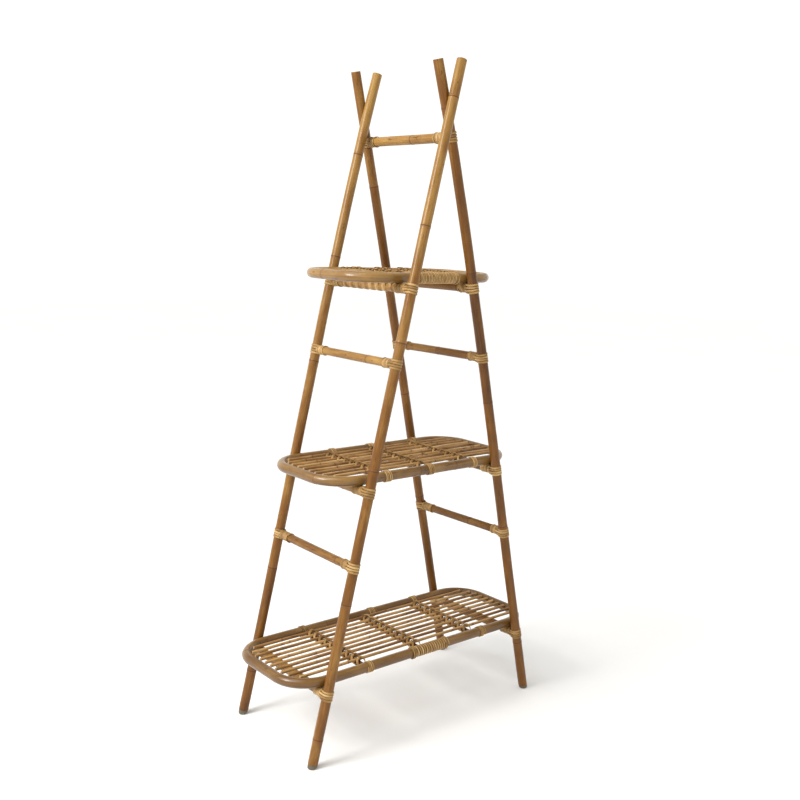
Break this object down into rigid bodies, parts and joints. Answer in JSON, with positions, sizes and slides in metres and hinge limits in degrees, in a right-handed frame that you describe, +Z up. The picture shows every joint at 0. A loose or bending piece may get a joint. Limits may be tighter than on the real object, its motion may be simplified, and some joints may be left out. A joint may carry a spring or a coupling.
{
  "type": "ladder shelf",
  "caption": "Free-standing rattan ladder shelf: crossed pole A-frames tied by rungs, carrying slatted cane shelves that get narrower towards the top.",
  "frame": {"origin": "on the floor, below the middle of the shelves", "axes": "+Z up, +X along the shelves, -Y towards the front A-frame"},
  "size_m": [0.842, 0.3996, 1.7573],
  "materials": {
    "pole": "satin varnish",
    "rung": "satin varnish",
    "rim": "satin varnish",
    "cross_bar": "satin",
    "slat": "satin",
    "glide": "matte",
    "screw": "plain"
  },
  "bodies": {
    "root": {"leg_front_left": "pole", "leg_front_right": "pole", "leg_back_left": "pole", "leg_back_right": "pole", "foot_cap_front_left": "glide", "foot_cap_front_right": "glide", "foot_cap_back_left": "glide", "foot_cap_back_right": "glide", "crossing_screw_front": "screw", "crossing_screw_back": "screw", "support_bar_left_bottom": "rung", "support_bar_left_middle": "rung", "support_bar_left_top": "rung", "rung_left_lower": "rung", "rung_left_upper": "rung", "support_bar_right_bottom": "rung", "support_bar_right_middle": "rung", "support_bar_right_top": "rung", "rung_right_lower": "rung", "rung_right_upper": "rung", "top_crossbar": "rung", "shelf_bottom_rim": "rim", "shelf_bottom_cross_bar_1": "cross_bar", "shelf_bottom_cross_bar_2": "cross_bar", "shelf_bottom_cross_bar_3": "cross_bar", "shelf_bottom_slat_1": "slat", "shelf_bottom_slat_2": "slat", "shelf_bottom_slat_3": "slat", "shelf_bottom_slat_4": "slat", "shelf_bottom_slat_5": "slat", "shelf_bottom_slat_6": "slat", "shelf_bottom_slat_7": "slat", "shelf_bottom_slat_8": "slat", "shelf_bottom_slat_9": "slat", "shelf_bottom_slat_10": "slat", "shelf_middle_rim": "rim", "shelf_middle_cross_bar_1": "cross_bar", "shelf_middle_cross_bar_2": "cross_bar", "shelf_middle_cross_bar_3": "cross_bar", "shelf_middle_slat_1": "slat", "shelf_middle_slat_2": "slat", "shelf_middle_slat_3": "slat", "shelf_middle_slat_4": "slat", "shelf_middle_slat_5": "slat", "shelf_middle_slat_6": "slat", "shelf_middle_slat_7": "slat", "shelf_middle_slat_8": "slat", "shelf_middle_slat_9": "slat", "shelf_top_rim": "rim", "shelf_top_cross_bar_1": "cross_bar", "shelf_top_cross_bar_2": "cross_bar", "shelf_top_cross_bar_3": "cross_bar", "shelf_top_slat_1": "slat", "shelf_top_slat_2": "slat", "shelf_top_slat_3": "slat", "shelf_top_slat_4": "slat", "shelf_top_slat_5": "slat", "shelf_top_slat_6": "slat", "shelf_top_slat_7": "slat", "shelf_top_slat_8": "slat"}
  },
  "joints": []
}
